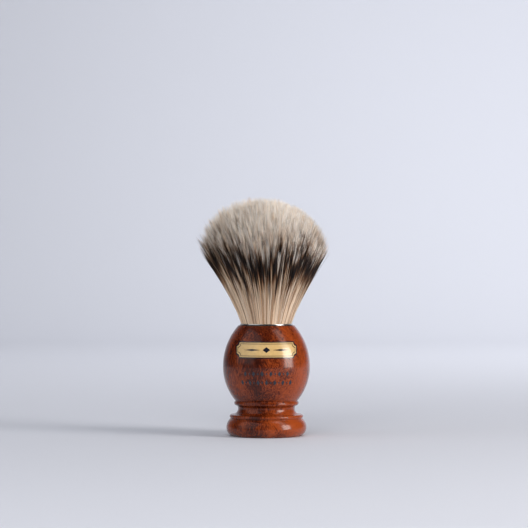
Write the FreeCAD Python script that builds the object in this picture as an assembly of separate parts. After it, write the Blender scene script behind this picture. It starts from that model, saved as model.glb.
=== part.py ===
"""Shaving brush: a turned wooden handle with a knot of hair glued into a socket in its top.

Millimetres, +Z up, origin at the centre of the foot's flat base, the label on the -Y side.
"""

import FreeCAD, Part
import math
import os

# Turned handle, from the base up: radii of the turning
BASE_RADIUS = 15.8            # flat face that the brush stands on
FOOT_RADIUS = 18.4            # widest part of the foot
FOOT_TOP_RADIUS = 16.6        # top of the foot, at the groove
GROOVE_DEPTH = 0.15           # how far the groove cuts in behind the top of the foot
RIM_RADIUS = 16.9             # bead above the groove
RIM_TOP_RADIUS = 16.2         # where that bead turns inward
NECK_RADIUS = 13.05           # narrowest part, held by a stand
COLLAR_FLANK_WIDTH = 1.15     # how far the underside of the collar bead flares out from the neck
COLLAR_RADIUS = 14.85         # bead under the bulb
BULB_ROOT_RADIUS = 14.35      # foot of the bulb, in the notch above the collar bead
BULB_RADIUS = 20.0            # widest part of the bulb

# Turned handle, from the base up: heights of each stretch
FOOT_WIDEST_HEIGHT = 3.9
FOOT_UPPER_HEIGHT = 4.1
GROOVE_HEIGHT = 0.35
RIM_HEIGHT = 1.6
COVE_RADIUS = 2.6
NECK_LENGTH = 0.2
COLLAR_FLANK_HEIGHT = 1.4
COLLAR_HEIGHT = 1.9
NOTCH_HEIGHT = 0.2
BULB_LOWER_HEIGHT = 15.75
BULB_UPPER_HEIGHT = 18.8
TOP_EDGE_ROUND = 0.3

# Knot and the ferrule around it
KNOT_RADIUS = 10.85           # hair where it leaves the ferrule
HAIR_FIT = 0.05               # hair to ferrule
FERRULE_WALL = 0.6
FLANGE_LIP = 0.65             # how far the ring overhangs its sleeve
FLANGE_STAND = 0.9            # how far the ring stands out of the wood
FLANGE_SEAT = 1.0             # how far the ring is let into the wood
FLANGE_ROUND = 0.4            # rounding of the ring's outer edge
FLANGE_INNER_ROUND = 0.25
SLEEVE_FIT = 0.1              # sleeve to socket
FLANGE_FIT = 0.05             # ring to its seat
WOOD_RIM = 0.7                # wood left outside the ring's seat
SOCKET_DEPTH = 16.0

# Cast plug, its adhesive, and the thread
PLUG_HEIGHT = 5.4
PLUG_INSET = 0.15             # plug smaller than the knot
PLUG_CHAMFER = 0.6
GLUE_FLOOR = 0.8
GLUE_FIT = 0.02               # adhesive to the wood and to the plug
STACK_GAP = 0.05              # between pieces stacked in the socket
THREAD_DIAMETER = 0.8
THREAD_TURNS = 5
THREAD_LAP = 0.1              # share of its diameter by which each turn beds into the last
THREAD_FIT = 0.02             # thread to hair and to ferrule

# Hair above the ferrule
LOFT = 57.8                   # ring to crown
BLOOM_RADIUS = 30.4           # spread of the bloom before its shoulder is rounded
CROWN_RISE = 20.6             # height of the domed crown
FLARE_HOLLOW = 1.0            # how far the side of the flare bows inward
SHOULDER_ROUND = 4.0
EXIT_LENGTH = 0.6             # straight stretch above the ring

# Printed label on the front of the bulb
LABEL_RISE = 8.1              # centre of the label above the widest part of the bulb
LABEL_WIDTH = 31.0            # measured round the bulb
LABEL_HEIGHT = 7.6
LABEL_CORNER = 1.7            # radius of the scooped corners
BORDER_WIDTH = 0.5
INNER_LINE_INSET = 0.5
INNER_LINE_WIDTH = 0.22
FOIL_THICKNESS = 0.05
INK_THICKNESS = 0.04
PRINT_GAP = 0.01              # between the wood, the foil and the ink
LABEL_LOZENGE = (3.4, 2.6)    # width and height of the lozenge in the middle of the label
LABEL_DART = (8.0, 0.9)       # length and height of the dart on each side of it
DART_GAP = 1.0

# Two rows of ornament under the label: drop below the widest part of the bulb, and number of marks
ORNAMENT_ROWS = ((2.7, 11), (6.7, 13))
ORNAMENT_PITCH = 2.0
ORNAMENT_LOZENGE = (1.5, 2.5)
ORNAMENT_DOT = (0.9, 0.9)

# Heights that follow from the sizes above
FOOT_TOP = FOOT_WIDEST_HEIGHT + FOOT_UPPER_HEIGHT
RIM_BOTTOM = FOOT_TOP + GROOVE_HEIGHT
RIM_TOP = RIM_BOTTOM + RIM_HEIGHT
NECK_BOTTOM = RIM_TOP + COVE_RADIUS
NECK_TOP = NECK_BOTTOM + NECK_LENGTH
COLLAR_BOTTOM = NECK_TOP + COLLAR_FLANK_HEIGHT
COLLAR_TOP = COLLAR_BOTTOM + COLLAR_HEIGHT
BULB_BOTTOM = COLLAR_TOP + NOTCH_HEIGHT
BULB_MIDDLE = BULB_BOTTOM + BULB_LOWER_HEIGHT
HANDLE_TOP = BULB_MIDDLE + BULB_UPPER_HEIGHT
SOCKET_FLOOR = HANDLE_TOP - SOCKET_DEPTH
PLUG_BOTTOM = SOCKET_FLOOR + GLUE_FLOOR
PLUG_TOP = PLUG_BOTTOM + PLUG_HEIGHT
STACK_BOTTOM = PLUG_TOP + STACK_GAP
RING_TOP = HANDLE_TOP + FLANGE_STAND

# Radii that follow from the knot
SLEEVE_INNER = KNOT_RADIUS + HAIR_FIT
SLEEVE_OUTER = SLEEVE_INNER + FERRULE_WALL
SOCKET_RADIUS = SLEEVE_OUTER + SLEEVE_FIT
FLANGE_RADIUS = SLEEVE_OUTER + FLANGE_LIP
SEAT_RADIUS = FLANGE_RADIUS + FLANGE_FIT
HANDLE_TOP_RADIUS = SEAT_RADIUS + WOOD_RIM
PLUG_RADIUS = KNOT_RADIUS - PLUG_INSET
WAIST_RADIUS = SLEEVE_INNER - THREAD_DIAMETER - 2 * THREAD_FIT

AXIS = FreeCAD.Vector(0, 0, 1)
ORIGIN = FreeCAD.Vector(0, 0, 0)
MATCH = 1e-4                  # how closely an edge found by its size must agree


def at(radius, height):
    """A point of a turned profile, in the XZ plane."""
    return FreeCAD.Vector(radius, 0, height)


def line(start, end):
    return Part.LineSegment(at(*start), at(*end)).toShape()


def arc_radius(wide, end):
    """Radius of the arc that is upright at `wide` and passes through `end`."""
    step_in = wide[0] - end[0]
    rise = end[1] - wide[1]
    return (step_in ** 2 + rise ** 2) / (2 * step_in)


def bulge(wide, end, stand_off=0.0):
    """Arc from `wide`, where it is upright, to `end`. A stand-off moves it outward, square to itself."""
    radius = arc_radius(wide, end)
    turn = math.asin((end[1] - wide[1]) / radius)
    reach = radius + stand_off

    def on_arc(share):
        angle = turn * share
        return at(wide[0] - radius + reach * math.cos(angle), wide[1] + reach * math.sin(angle))

    return Part.Arc(on_arc(0), on_arc(0.5), on_arc(1)).toShape()


def through(start, middle, end):
    return Part.Arc(at(*start), at(*middle), at(*end)).toShape()


def turned(edges):
    """The solid swept by a closed profile round the axis."""
    wire = Part.Wire(Part.__sortEdges__(edges))
    return Part.Face(wire).revolve(ORIGIN, AXIS, 360)


def cylinder(radius, bottom, top):
    return Part.makeCylinder(radius, top - bottom, at(0, bottom), AXIS)


def tube(inner, outer, bottom, top):
    return cylinder(outer, bottom, top).cut(cylinder(inner, bottom, top))


def circles(shape, radius, height):
    """The circular edges of a turned shape with this radius at this height."""
    found = []
    for edge in shape.Edges:
        if edge.Degenerated or not isinstance(edge.Curve, Part.Circle):
            continue
        circle = edge.Curve
        if abs(circle.Radius - radius) < MATCH and abs(circle.Center.z - height) < MATCH:
            found.append(edge)
    return found


def handle():
    widest_foot = (FOOT_RADIUS, FOOT_WIDEST_HEIGHT)
    foot_top = (FOOT_TOP_RADIUS, FOOT_TOP)
    groove = (FOOT_TOP_RADIUS - GROOVE_DEPTH, FOOT_TOP + GROOVE_HEIGHT / 2)
    rim_bottom = (FOOT_TOP_RADIUS, RIM_BOTTOM)
    rim_tip = (RIM_RADIUS, (RIM_BOTTOM + RIM_TOP) / 2)
    rim_top = (RIM_TOP_RADIUS, RIM_TOP)
    cove_start = (NECK_RADIUS + COVE_RADIUS, RIM_TOP)
    neck_bottom = (NECK_RADIUS, NECK_BOTTOM)
    neck_top = (NECK_RADIUS, NECK_TOP)
    collar_bottom = (NECK_RADIUS + COLLAR_FLANK_WIDTH, COLLAR_BOTTOM)
    collar_tip = (COLLAR_RADIUS, (COLLAR_BOTTOM + COLLAR_TOP) / 2)
    collar_top = (BULB_ROOT_RADIUS, COLLAR_TOP)
    bulb_bottom = (BULB_ROOT_RADIUS, BULB_BOTTOM)
    bulb_middle = (BULB_RADIUS, BULB_MIDDLE)
    top = (HANDLE_TOP_RADIUS, HANDLE_TOP)
    blank = turned([
        line((0, 0), (BASE_RADIUS, 0)),
        bulge(widest_foot, (BASE_RADIUS, 0)),
        bulge(widest_foot, foot_top),
        through(foot_top, groove, rim_bottom),
        through(rim_bottom, rim_tip, rim_top),
        line(rim_top, cove_start),
        bulge(neck_bottom, cove_start),
        line(neck_bottom, neck_top),
        bulge(neck_top, collar_bottom),
        through(collar_bottom, collar_tip, collar_top),
        line(collar_top, bulb_bottom),
        bulge(bulb_middle, bulb_bottom),
        bulge(bulb_middle, top),
        line(top, (0, HANDLE_TOP)),
        line((0, HANDLE_TOP), (0, 0)),
    ])
    blank = blank.makeFillet(TOP_EDGE_ROUND, circles(blank, HANDLE_TOP_RADIUS, HANDLE_TOP))
    socket = cylinder(SOCKET_RADIUS, SOCKET_FLOOR, HANDLE_TOP)
    seat = cylinder(SEAT_RADIUS, HANDLE_TOP - FLANGE_SEAT, HANDLE_TOP)
    return blank.cut(socket).cut(seat)


def ferrule():
    seat_height = HANDLE_TOP - FLANGE_SEAT
    sleeve = tube(SLEEVE_INNER, SLEEVE_OUTER, STACK_BOTTOM, RING_TOP)
    ring = tube(SLEEVE_INNER, FLANGE_RADIUS, seat_height, RING_TOP)
    shape = sleeve.fuse(ring).removeSplitter()
    shape = shape.makeFillet(FLANGE_ROUND, circles(shape, FLANGE_RADIUS, RING_TOP))
    return shape.makeFillet(FLANGE_INNER_ROUND, circles(shape, SLEEVE_INNER, RING_TOP))


def plug_blank(clearance):
    """The plug, or with a clearance the space that it needs."""
    radius = PLUG_RADIUS + clearance
    bottom = PLUG_BOTTOM - clearance
    blank = cylinder(radius, bottom, PLUG_TOP)
    return blank.makeChamfer(PLUG_CHAMFER, circles(blank, radius, bottom))


def glue_bed():
    cup = cylinder(SOCKET_RADIUS - GLUE_FIT, SOCKET_FLOOR, PLUG_TOP)
    return cup.cut(plug_blank(GLUE_FIT))


def binding_thread():
    pitch = THREAD_DIAMETER * (1 - THREAD_LAP)
    centre_radius = WAIST_RADIUS + THREAD_FIT + THREAD_DIAMETER / 2
    turns = []
    for turn in range(THREAD_TURNS):
        height = STACK_BOTTOM + THREAD_DIAMETER / 2 + turn * pitch
        turns.append(Part.makeTorus(centre_radius, THREAD_DIAMETER / 2, at(0, height), AXIS))
    return turns[0].fuse(turns[1:])


def thread_top():
    return STACK_BOTTOM + THREAD_DIAMETER * (1 + (THREAD_TURNS - 1) * (1 - THREAD_LAP))


def hair_knot():
    waist_bottom = (WAIST_RADIUS, STACK_BOTTOM)
    waist_top = (WAIST_RADIUS, thread_top() + STACK_GAP)
    full = (KNOT_RADIUS, waist_top[1] + (KNOT_RADIUS - WAIST_RADIUS))
    leaving = (KNOT_RADIUS, RING_TOP + EXIT_LENGTH)
    crown = (0, RING_TOP + LOFT)
    shoulder = (BLOOM_RADIUS, crown[1] - CROWN_RISE)
    length = math.dist(leaving, shoulder)
    flare_middle = (
        (leaving[0] + shoulder[0]) / 2 - FLARE_HOLLOW * (shoulder[1] - leaving[1]) / length,
        (leaving[1] + shoulder[1]) / 2 + FLARE_HOLLOW * (shoulder[0] - leaving[0]) / length,
    )
    dome_radius = (BLOOM_RADIUS ** 2 + CROWN_RISE ** 2) / (2 * CROWN_RISE)
    half_turn = math.asin(BLOOM_RADIUS / dome_radius) / 2
    dome_middle = (
        dome_radius * math.sin(half_turn),
        crown[1] - dome_radius * (1 - math.cos(half_turn)),
    )
    bundle = turned([
        line((0, STACK_BOTTOM), waist_bottom),
        line(waist_bottom, waist_top),
        line(waist_top, full),
        line(full, leaving),
        through(leaving, flare_middle, shoulder),
        through(shoulder, dome_middle, crown),
        line(crown, (0, STACK_BOTTOM)),
    ])
    return bundle.makeFillet(SHOULDER_ROUND, circles(bundle, *shoulder))


def bulb_skin(inner_stand_off, outer_stand_off):
    """A thin shell that follows the outside of the bulb."""
    middle = (BULB_RADIUS, BULB_MIDDLE)
    bottom = (BULB_ROOT_RADIUS, BULB_BOTTOM)
    top = (HANDLE_TOP_RADIUS, HANDLE_TOP)
    edges = []
    ends = {}
    for stand_off in (inner_stand_off, outer_stand_off):
        for end in (bottom, top):
            arc = bulge(middle, end, stand_off)
            edges.append(arc)
            ends.setdefault(end, []).append(arc.valueAt(arc.LastParameter))
    for inner_end, outer_end in ends.values():
        edges.append(Part.LineSegment(inner_end, outer_end).toShape())
    return turned(edges)


def print_skin(stand_off, thickness):
    return bulb_skin(stand_off, stand_off + thickness)


def label_bulb_radius():
    """Radius of the bulb at the middle of the label."""
    radius = arc_radius((BULB_RADIUS, BULB_MIDDLE), (HANDLE_TOP_RADIUS, HANDLE_TOP))
    return BULB_RADIUS - radius + math.sqrt(radius ** 2 - LABEL_RISE ** 2)


def stamp(outline, skin):
    """The part of a thin shell that lies behind an outline, seen from the front."""
    reach = -2 * BULB_RADIUS
    prism = Part.Face(Part.Wire(outline)).extrude(FreeCAD.Vector(0, reach, 0))
    return skin.common(prism)


def plaque(inset):
    """Outline of the label with scooped corners, wrapped on the bulb, this far inside its edge."""
    radius = label_bulb_radius()
    half_width = LABEL_WIDTH / 2 - inset
    half_height = LABEL_HEIGHT / 2 - inset
    scoop = LABEL_CORNER
    diagonal = scoop * math.sqrt(0.5)
    middle = BULB_MIDDLE + LABEL_RISE

    def wrapped(along, up):
        return at(radius * math.sin(along / radius), middle + up)

    corners = []
    for side_x, side_z in ((1, 1), (1, -1), (-1, -1), (-1, 1)):
        on_side = wrapped(side_x * half_width, side_z * (half_height - scoop))
        inward = wrapped(side_x * (half_width - diagonal), side_z * (half_height - diagonal))
        on_level = wrapped(side_x * (half_width - scoop), side_z * half_height)
        first_on_level = side_x == side_z
        ends = (on_level, on_side) if first_on_level else (on_side, on_level)
        corners.append((ends[0], inward, ends[1]))
    edges = []
    for index, corner in enumerate(corners):
        following = corners[(index + 1) % len(corners)]
        edges.append(Part.Arc(*corner).toShape())
        edges.append(Part.LineSegment(corner[2], following[0]).toShape())
    return edges


def polygon(points):
    corners = [at(*point) for point in points]
    edges = []
    for start, end in zip(corners, corners[1:] + corners[:1]):
        edges.append(Part.LineSegment(start, end).toShape())
    return edges


def lozenge(size, height):
    """Outline of a lozenge at the middle of the front, at this height."""
    half_width = size[0] / 2
    half_height = size[1] / 2
    return polygon((
        (-half_width, height),
        (0, height + half_height),
        (half_width, height),
        (0, height - half_height),
    ))


def turned_by(shape, along, radius):
    """A print moved this far round a turned surface of the given radius."""
    angle = math.degrees(along / radius)
    return shape.copy().rotate(ORIGIN, AXIS, angle)


def label_foil():
    return stamp(plaque(0), print_skin(PRINT_GAP, FOIL_THICKNESS))


def frame_line(skin, outer_inset, width):
    return stamp(plaque(outer_inset), skin).cut(stamp(plaque(outer_inset + width), skin))


def label_ink():
    skin = print_skin(2 * PRINT_GAP + FOIL_THICKNESS, INK_THICKNESS)
    middle = BULB_MIDDLE + LABEL_RISE
    radius = label_bulb_radius()
    border = frame_line(skin, 0, BORDER_WIDTH)
    inner_line = frame_line(skin, BORDER_WIDTH + INNER_LINE_INSET, INNER_LINE_WIDTH)
    prints = [border, inner_line, stamp(lozenge(LABEL_LOZENGE, middle), skin)]
    length, thickness = LABEL_DART
    dart = stamp(lozenge(LABEL_DART, middle), skin)
    offset = LABEL_LOZENGE[0] / 2 + DART_GAP + length / 2
    for side in (-1, 1):
        prints.append(turned_by(dart, side * offset, radius))
    return Part.makeCompound([solid for shape in prints for solid in shape.Solids])


def label_ornament():
    skin = print_skin(PRINT_GAP, INK_THICKNESS)
    solids = []
    for drop, count in ORNAMENT_ROWS:
        height = BULB_MIDDLE - drop
        tall = stamp(lozenge(ORNAMENT_LOZENGE, height), skin)
        small = stamp(lozenge(ORNAMENT_DOT, height), skin)
        for index in range(count):
            mark = small if index % 2 else tall
            along = (index - (count - 1) / 2) * ORNAMENT_PITCH
            solids += turned_by(mark, along, BULB_RADIUS).Solids
    return Part.makeCompound(solids)


PIECES = {
    "handle": handle,
    "ferrule": ferrule,
    "hair_knot": hair_knot,
    "binding_thread": binding_thread,
    "resin_plug": lambda: plug_blank(0),
    "glue_bed": glue_bed,
    "label_foil": label_foil,
    "label_ink": label_ink,
    "label_ornament": label_ornament,
}

os.makedirs("parts", exist_ok=True)
for name, make in PIECES.items():
    shape = make()
    shape.exportStep(f"parts/{name}.step")
    box = shape.optimalBoundingBox(False)
    print(
        f"{name}: {len(shape.Solids)} solids, valid {shape.isValid()}, {shape.Volume:.2f} mm3,"
        f" x {box.XMin:.2f} {box.XMax:.2f}, z {box.ZMin:.2f} {box.ZMax:.2f}"
    )
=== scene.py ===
"""Shaving brush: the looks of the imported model, laid out as a Blender add-on.

Metres, +Z up, the origin at the centre of the foot's flat base, the label on the -Y side.
"""

import bpy
import math
from functools import partial
from bpy.props import FloatProperty, FloatVectorProperty, IntProperty, PointerProperty
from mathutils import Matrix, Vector


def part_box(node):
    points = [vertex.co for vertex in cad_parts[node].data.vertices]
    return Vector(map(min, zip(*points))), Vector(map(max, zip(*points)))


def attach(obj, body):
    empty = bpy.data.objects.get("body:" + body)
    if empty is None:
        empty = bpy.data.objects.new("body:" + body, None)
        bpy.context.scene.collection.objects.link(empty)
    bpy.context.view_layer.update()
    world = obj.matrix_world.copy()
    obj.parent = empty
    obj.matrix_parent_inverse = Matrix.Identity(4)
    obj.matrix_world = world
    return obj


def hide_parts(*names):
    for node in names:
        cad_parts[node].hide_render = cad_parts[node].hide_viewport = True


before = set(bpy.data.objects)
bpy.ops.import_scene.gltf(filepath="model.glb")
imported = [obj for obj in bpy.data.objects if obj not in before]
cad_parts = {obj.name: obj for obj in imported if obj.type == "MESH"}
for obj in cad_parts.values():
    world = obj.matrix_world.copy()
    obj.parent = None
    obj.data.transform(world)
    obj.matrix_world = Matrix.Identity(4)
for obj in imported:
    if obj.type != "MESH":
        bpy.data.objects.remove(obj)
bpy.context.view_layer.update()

bl_info = {
    "name": "Shaving brush",
    "version": (1, 0, 0),
    "blender": (4, 5, 0),
    "location": "3D View > Sidebar > Shaving brush",
    "description": "Finishes a turned wooden shaving brush with a knot of three-band hair",
    "category": "Object",
}

MM = 0.001
BODY = "root"
BAKE_UV = "OFBake"            # the map that a baked picture of a piece follows
TONES = 8                     # tones that a wisp, and a clump, can have
TONE_COLUMNS = TONES * TONES  # columns of the hair's map: one for each pair of tones
PIGMENT_SPAN = 60 * MM        # length of hair that the map's height stands for
TIP_EDGE = 0.2                # height in the map where the pale tip ends
HAIR_STEPS = 6                # points along each hair
HAIR_SIDES = 3
LOCKS = 8                     # locks of hair round the knot
THREAD_PITCH = 0.9            # step from lap to lap, as a share of the thread's diameter
PLIES_ACROSS = 4              # ply radii across the twisted thread
PLY_SIDES = 6
THREAD_STEPS = 192            # points in each turn of the thread
TWISTS_PER_TURN = 22.0

WISPS_PER_CLUMP = 2.6         # wisps across the knot, for each clump across it
SPREAD_EXTRA = 1.9 * MM       # how far the fan aims past the side of the plain block
CROWN_RISE = 20 * MM          # height of the dome that the tips end on
ROOT_DEPTH = 2 * MM           # how far inside the ring the separate hairs start
HAIR_CLEARANCE = 0.05 * MM    # hair to the inside of the ring
BUNDLE_LAP = 1.5 * MM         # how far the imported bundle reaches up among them
FIRST_SEED = 11
SEED_STEP = 20                # between locks, so that no two draw the same numbers
FIBRES = "Fibre streaks"
LACQUER = "Lacquer film"

RING_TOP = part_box("ferrule")[1].z
KNOT_LOW, KNOT_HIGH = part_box("hair_knot")
THREAD_LOW, THREAD_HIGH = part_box("binding_thread")

Colour = partial(FloatVectorProperty, subtype="COLOR")
Length = partial(FloatProperty, unit="LENGTH", precision=5)


# ---------------------------------------------------------------- node trees

class Graph:
    """Adds nodes to a tree and links them as it goes."""

    def __init__(self, tree):
        self.tree = tree

    def feed(self, socket, value):
        if isinstance(value, bpy.types.NodeSocket):
            self.tree.links.new(value, socket)
        elif value is not None:
            socket.default_value = value

    def node(self, kind, inputs=None, **settings):
        made = self.tree.nodes.new(kind)
        for name, value in settings.items():
            setattr(made, name, value)
        for key, value in (inputs or {}).items():
            self.feed(made.inputs[key], value)
        return made

    def math(self, operation, *values, clamp=False):
        made = self.node("ShaderNodeMath", dict(enumerate(values)), operation=operation, use_clamp=clamp)
        return made.outputs[0]

    def vector(self, operation, *values):
        made = self.node("ShaderNodeVectorMath", operation=operation)
        for index, value in enumerate(values):
            if operation == "SCALE" and index == 1:
                self.feed(made.inputs["Scale"], value)
            else:
                self.feed(made.inputs[index], value)
        return made.outputs["Value" if operation in ("LENGTH", "DOT_PRODUCT", "DISTANCE") else "Vector"]

    def add(self, first, second):
        return self.math("ADD", first, second)

    def minus(self, first, second):
        return self.math("SUBTRACT", first, second)

    def times(self, first, second):
        return self.math("MULTIPLY", first, second)

    def power(self, base, exponent):
        return self.math("POWER", base, exponent)

    def shift(self, first, second):
        return self.vector("ADD", first, second)

    def scale(self, vector, factor):
        return self.vector("SCALE", vector, factor)

    def weigh(self, *terms):
        """Each value times its weight, summed."""
        total = None
        for value, weight in terms:
            part = self.times(value, weight)
            total = part if total is None else self.add(total, part)
        return total

    def xyz(self, x, y, z):
        return self.node("ShaderNodeCombineXYZ", {0: x, 1: y, 2: z}).outputs[0]

    def split(self, vector):
        return self.node("ShaderNodeSeparateXYZ", {0: vector}).outputs

    def remap(self, value, low, high, to_low=0.0, to_high=1.0, smooth=False):
        kind = "SMOOTHSTEP" if smooth else "LINEAR"
        inputs = {0: value, 1: low, 2: high, 3: to_low, 4: to_high}
        return self.node("ShaderNodeMapRange", inputs, interpolation_type=kind).outputs[0]

    def blend_number(self, share, first, second):
        return self.node("ShaderNodeMix", {0: share, 2: first, 3: second}, data_type="FLOAT").outputs[0]

    def blend_vector(self, share, first, second):
        return self.node("ShaderNodeMix", {0: share, 4: first, 5: second}, data_type="VECTOR").outputs[1]

    def blend_colour(self, share, first, second, mode="MIX"):
        inputs = {0: share, 6: first, 7: second}
        return self.node("ShaderNodeMix", inputs, data_type="RGBA", blend_type=mode).outputs[2]

    def tint(self, colour, level):
        """The colour made darker or lighter by one number."""
        return self.blend_colour(1.0, colour, self.xyz(level, level, level), "MULTIPLY")

    def noise(self, vector, scale, detail=2.0, roughness=0.5, dimensions="3D"):
        inputs = {"Vector": vector, "Scale": scale, "Detail": detail, "Roughness": roughness}
        return self.node("ShaderNodeTexNoise", inputs, noise_dimensions=dimensions).outputs

    def ramp(self, value, stops, interpolation="LINEAR"):
        made = self.node("ShaderNodeValToRGB", {0: value})
        bar = made.color_ramp
        bar.interpolation = interpolation
        while len(bar.elements) < len(stops):
            bar.elements.new(0.5)
        for element, (place, colour) in zip(bar.elements, sorted(stops, key=lambda stop: stop[0])):
            element.position = place
            element.color = (*colour, 1.0)
        return made.outputs["Color"]


SOCKETS = {
    "float": "NodeSocketFloat",
    "int": "NodeSocketInt",
    "vector": "NodeSocketVector",
    "colour": "NodeSocketColor",
    "material": "NodeSocketMaterial",
    "geometry": "NodeSocketGeometry",
}


def new_group(name, kind, inputs, outputs):
    """An empty node group with named sockets: (graph, its inputs by name, its output node)."""
    tree = bpy.data.node_groups.new(name, kind)
    for label, socket, default in inputs:
        made = tree.interface.new_socket(name=label, in_out="INPUT", socket_type=SOCKETS[socket])
        if default is not None:
            made.default_value = default
    for label, socket in outputs:
        tree.interface.new_socket(name=label, in_out="OUTPUT", socket_type=SOCKETS[socket])
    graph = Graph(tree)
    given = tree.nodes.new("NodeGroupInput").outputs
    result = tree.nodes.new("NodeGroupOutput")
    return graph, given, result


def use_group(graph, tree, inputs):
    made = graph.node("ShaderNodeGroup", node_tree=tree)
    for name, value in inputs.items():
        graph.feed(made.inputs[name], value)
    return made.outputs


def run_nodes(name, tree, settings):
    """Runs a geometry node tree on an empty mesh and returns its result as a plain mesh."""
    carrier = bpy.data.objects.new(name, bpy.data.meshes.new(name))
    bpy.context.scene.collection.objects.link(carrier)
    modifier = carrier.modifiers.new("Maker", "NODES")
    modifier.node_group = tree
    for item in tree.interface.items_tree:
        if item.item_type == "SOCKET" and item.in_out == "INPUT" and item.name in settings:
            modifier[item.identifier] = settings[item.name]
    depsgraph = bpy.context.evaluated_depsgraph_get()
    mesh = bpy.data.meshes.new_from_object(carrier.evaluated_get(depsgraph), depsgraph=depsgraph)
    mesh.name = name
    bpy.data.objects.remove(carrier)
    return mesh


# ---------------------------------------------------------------- shared effects

def shared_group(name, make):
    """The shared group of this name, made the first time it is asked for."""
    return bpy.data.node_groups.get(name) or make()


def fibre_group():
    """Streaks that run along a direction and wander, as in wood."""
    graph, given, result = new_group(FIBRES, "ShaderNodeTree", (
        ("Vector", "vector", None),
        ("Across", "float", 1.0),
        ("Along", "float", 0.1),
        ("Wander", "float", 0.5),
        ("Seed", "float", 0.0),
    ), (("Fine", "float"), ("Broad", "float")))
    shifted = graph.shift(given["Vector"], graph.xyz(given["Seed"], given["Seed"], given["Seed"]))
    swirl = graph.noise(shifted, 0.16, detail=2.0)["Color"]
    centred = graph.vector("SUBTRACT", swirl, (0.5, 0.5, 0.5))
    warped = graph.shift(shifted, graph.scale(centred, given["Wander"]))
    squeeze = graph.xyz(given["Across"], given["Across"], given["Along"])
    stretched = graph.vector("MULTIPLY", warped, squeeze)
    fine = graph.noise(stretched, 2.6, detail=4.0, roughness=0.62)["Fac"]
    broad = graph.noise(stretched, 0.75, detail=2.0)["Fac"]
    graph.feed(result.inputs["Fine"], fine)
    graph.feed(result.inputs["Broad"], broad)
    return graph.tree


def lacquer_group():
    """Height and roughness of clear lacquer over grain: a slow ripple with a trace of the grain."""
    graph, given, result = new_group(LACQUER, "ShaderNodeTree", (
        ("Vector", "vector", None),
        ("Grain", "float", 0.5),
        ("Grain share", "float", 0.3),
    ), (("Height", "float"), ("Roughness", "float")))
    ripple = graph.noise(given["Vector"], 0.55, detail=1.0)["Fac"]
    dust = graph.noise(given["Vector"], 9.0, detail=1.0)["Fac"]
    height = graph.add(ripple, graph.times(given["Grain"], given["Grain share"]))
    wiped = graph.noise(given["Vector"], 0.12, detail=3.0)["Fac"]
    roughness = graph.weigh((wiped, 0.05), (dust, 0.03))
    graph.feed(result.inputs["Height"], height)
    graph.feed(result.inputs["Roughness"], roughness)
    return graph.tree


# ---------------------------------------------------------------- materials

def new_material(name):
    """A fresh material with one Principled shader: (material, graph, shader)."""
    material = bpy.data.materials.new(name)
    material.use_nodes = True
    tree = material.node_tree
    tree.nodes.clear()
    graph = Graph(tree)
    shader = graph.node("ShaderNodeBsdfPrincipled")
    output = graph.node("ShaderNodeOutputMaterial")
    graph.tree.links.new(shader.outputs[0], output.inputs[0])
    return material, graph, shader


def millimetres(graph):
    """Object coordinates in millimetres."""
    place = graph.node("ShaderNodeTexCoord").outputs["Object"]
    return graph.scale(place, 1 / MM)


def set_bump(graph, shader, height, distance, strength=1.0):
    inputs = {"Height": height, "Distance": distance, "Strength": strength}
    graph.feed(shader.inputs["Normal"], graph.node("ShaderNodeBump", inputs).outputs[0])


def shade(colour, factor):
    return tuple(channel * factor for channel in colour)


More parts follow.
